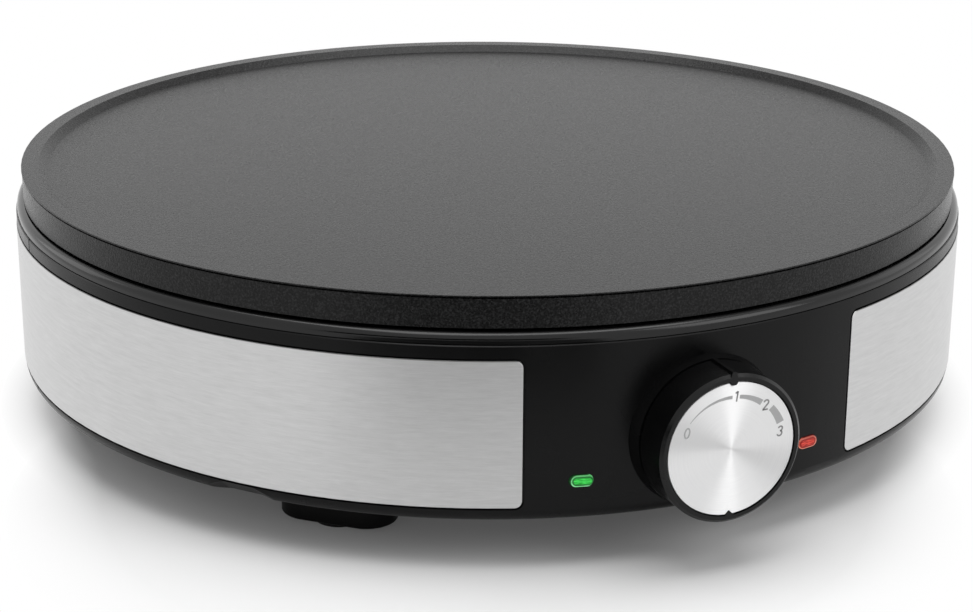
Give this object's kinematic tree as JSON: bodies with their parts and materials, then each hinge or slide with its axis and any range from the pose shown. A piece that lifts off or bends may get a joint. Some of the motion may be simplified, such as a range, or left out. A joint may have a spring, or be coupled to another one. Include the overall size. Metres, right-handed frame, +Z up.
{
  "type": "electric crepe maker",
  "caption": "Round electric crepe maker: recessed non-stick baking plate on a low drum base with a brushed steel band, front thermostat knob, indicator lamps and feet.",
  "frame": {"origin": "on the body's vertical axis, at worktop level under the foot pads", "axes": "+Z up; -Y out of the front, where the knob is; +Y out of the back, where the cord enters; +X to the right as seen from the front"},
  "size_m": [0.321, 0.3392, 0.084],
  "materials": {
    "nonstick_coating": "cast, dark non-stick coating, matte",
    "housing_plastic": "moulded black, satin",
    "ring_plastic": "moulded black, satin",
    "band_steel": "brushed lengthwise",
    "knob_plastic": "moulded black, satin",
    "dial_aluminium": "spun, with printed marks",
    "pan_plastic": "moulded black, fine grain",
    "shield_sheet": "mill finish sheet",
    "plated_steel": "zinc plated",
    "screw_steel": "zinc plated",
    "spring_steel": "blue-grey spring steel",
    "thermostat_ceramic": "unglazed",
    "seal_ceramic": "unglazed",
    "thermostat_brass": "turned",
    "bimetal": "rolled strip",
    "element_sheath": "heat-tinted tube",
    "fuse_case": "tinned",
    "fuse_braid": "woven glass sleeve",
    "green_lens": "clear green",
    "red_lens": "clear red",
    "lamp_glass": "clear neon bulb",
    "holder_plastic": "natural nylon",
    "foot_plastic": "moulded black, satin",
    "pad_rubber": "soft black",
    "block_plastic": "cream polyamide",
    "gland_plastic": "moulded black",
    "wire_brown": "silicone insulation",
    "wire_white": "silicone insulation",
    "wire_blue": "silicone insulation",
    "wire_green": "green and yellow insulation",
    "terminal_nylon": "natural nylon boots"
  },
  "bodies": {
    "base_body": {"baking_plate": "nonstick_coating", "base_pan": "pan_plastic", "bimetal_strip": "bimetal", "block_screws": "screw_steel", "bracket_screws": "screw_steel", "case_screws": "screw_steel", "clamp_screws": "screw_steel", "cord_clamp": "gland_plastic", "cord_clamp_screws": "screw_steel", "cord_gland": "gland_plastic", "earth_lug": "fuse_case", "earth_screw": "screw_steel", "element_clamps": "plated_steel", "element_pins": "plated_steel", "element_seals": "seal_ceramic", "foot_front_left": "foot_plastic", "foot_front_right": "foot_plastic", "foot_rear_left": "foot_plastic", "foot_rear_right": "foot_plastic", "foot_screws": "screw_steel", "fuse_clip": "plated_steel", "fuse_screws": "screw_steel", "fuse_sleeve": "fuse_braid", "gland_nut": "gland_plastic", "green_lamp": "lamp_glass", "green_lens": "green_lens", "heat_shield": "shield_sheet", "heating_element": "element_sheath", "housing_front": "housing_plastic", "housing_rear": "housing_plastic", "lamp_holders": "holder_plastic", "lamp_leads": "wire_white", "pad_front_left": "pad_rubber", "pad_front_right": "pad_rubber", "pad_rear_left": "pad_rubber", "pad_rear_right": "pad_rubber", "plate_screws": "screw_steel", "plate_standoffs": "plated_steel", "red_lamp": "lamp_glass", "red_lens": "red_lens", "steel_band": "band_steel", "terminal_block": "block_plastic", "thermal_fuse": "fuse_case", "thermostat_body": "thermostat_ceramic", "thermostat_bracket": "plated_steel", "thermostat_nut": "plated_steel", "thermostat_sleeve": "thermostat_brass", "thermostat_tabs": "thermostat_brass", "top_ring": "ring_plastic", "wire_earth": "wire_green", "wire_fused": "wire_white", "wire_live": "wire_brown", "wire_neutral": "wire_blue", "wire_switched": "wire_brown", "wire_terminals": "terminal_nylon"},
    "knob_body": {"knob": "knob_plastic", "dial_disc": "dial_aluminium", "knob_spring": "spring_steel", "thermostat_spindle": "plated_steel"}
  },
  "joints": [
    {"name": "knob_turn", "type": "hinge", "parent": "base_body", "child": "knob_body", "pos_m": [0, -0.17, 0.0393], "axis": [0, -1, 0], "range_deg": [-64, 79]}
  ]
}
